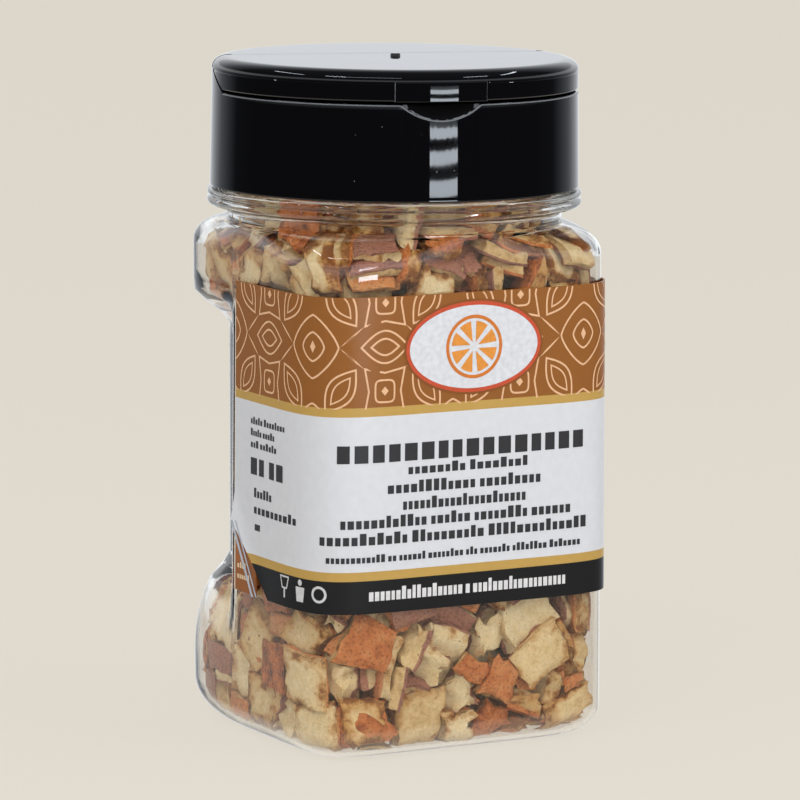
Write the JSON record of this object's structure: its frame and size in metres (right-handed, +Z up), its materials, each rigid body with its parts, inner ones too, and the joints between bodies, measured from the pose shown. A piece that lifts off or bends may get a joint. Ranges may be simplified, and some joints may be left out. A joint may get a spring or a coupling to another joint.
{
  "type": "clear spice jar of dried cut orange peel",
  "caption": "Clear square jar with finger recesses, wrap label and black flip-top screw cap, filled with dried cut orange peel; the cap's flap is hinged.",
  "frame": {"origin": "on the surface the jar stands on, under the axis of the cap", "axes": "+Z up along the cap's axis; -Y is the label's main face; the two finger recesses are in the back halves of the -X and +X sides"},
  "size_m": [0.067, 0.067, 0.1212],
  "materials": {
    "clear_pet": "clear blow-moulded PET",
    "dried_peel": "dried orange rind and pith",
    "label_film": "printed film label, satin",
    "black_polypropylene": "glossy moulded polypropylene"
  },
  "bodies": {
    "jar_body": {"jar": "clear_pet", "peel_fill": "dried_peel", "label": "label_film", "label_end": "label_film", "cap_base": "black_polypropylene"},
    "flap": {"cap_flap": "black_polypropylene"}
  },
  "joints": [
    {"name": "flap_hinge", "type": "hinge", "parent": "jar_body", "child": "flap", "pos_m": [0.002, 0.00775, 0.1207], "axis": [-0.9681, 0.2504, 0], "range_deg": [0, 115]}
  ]
}
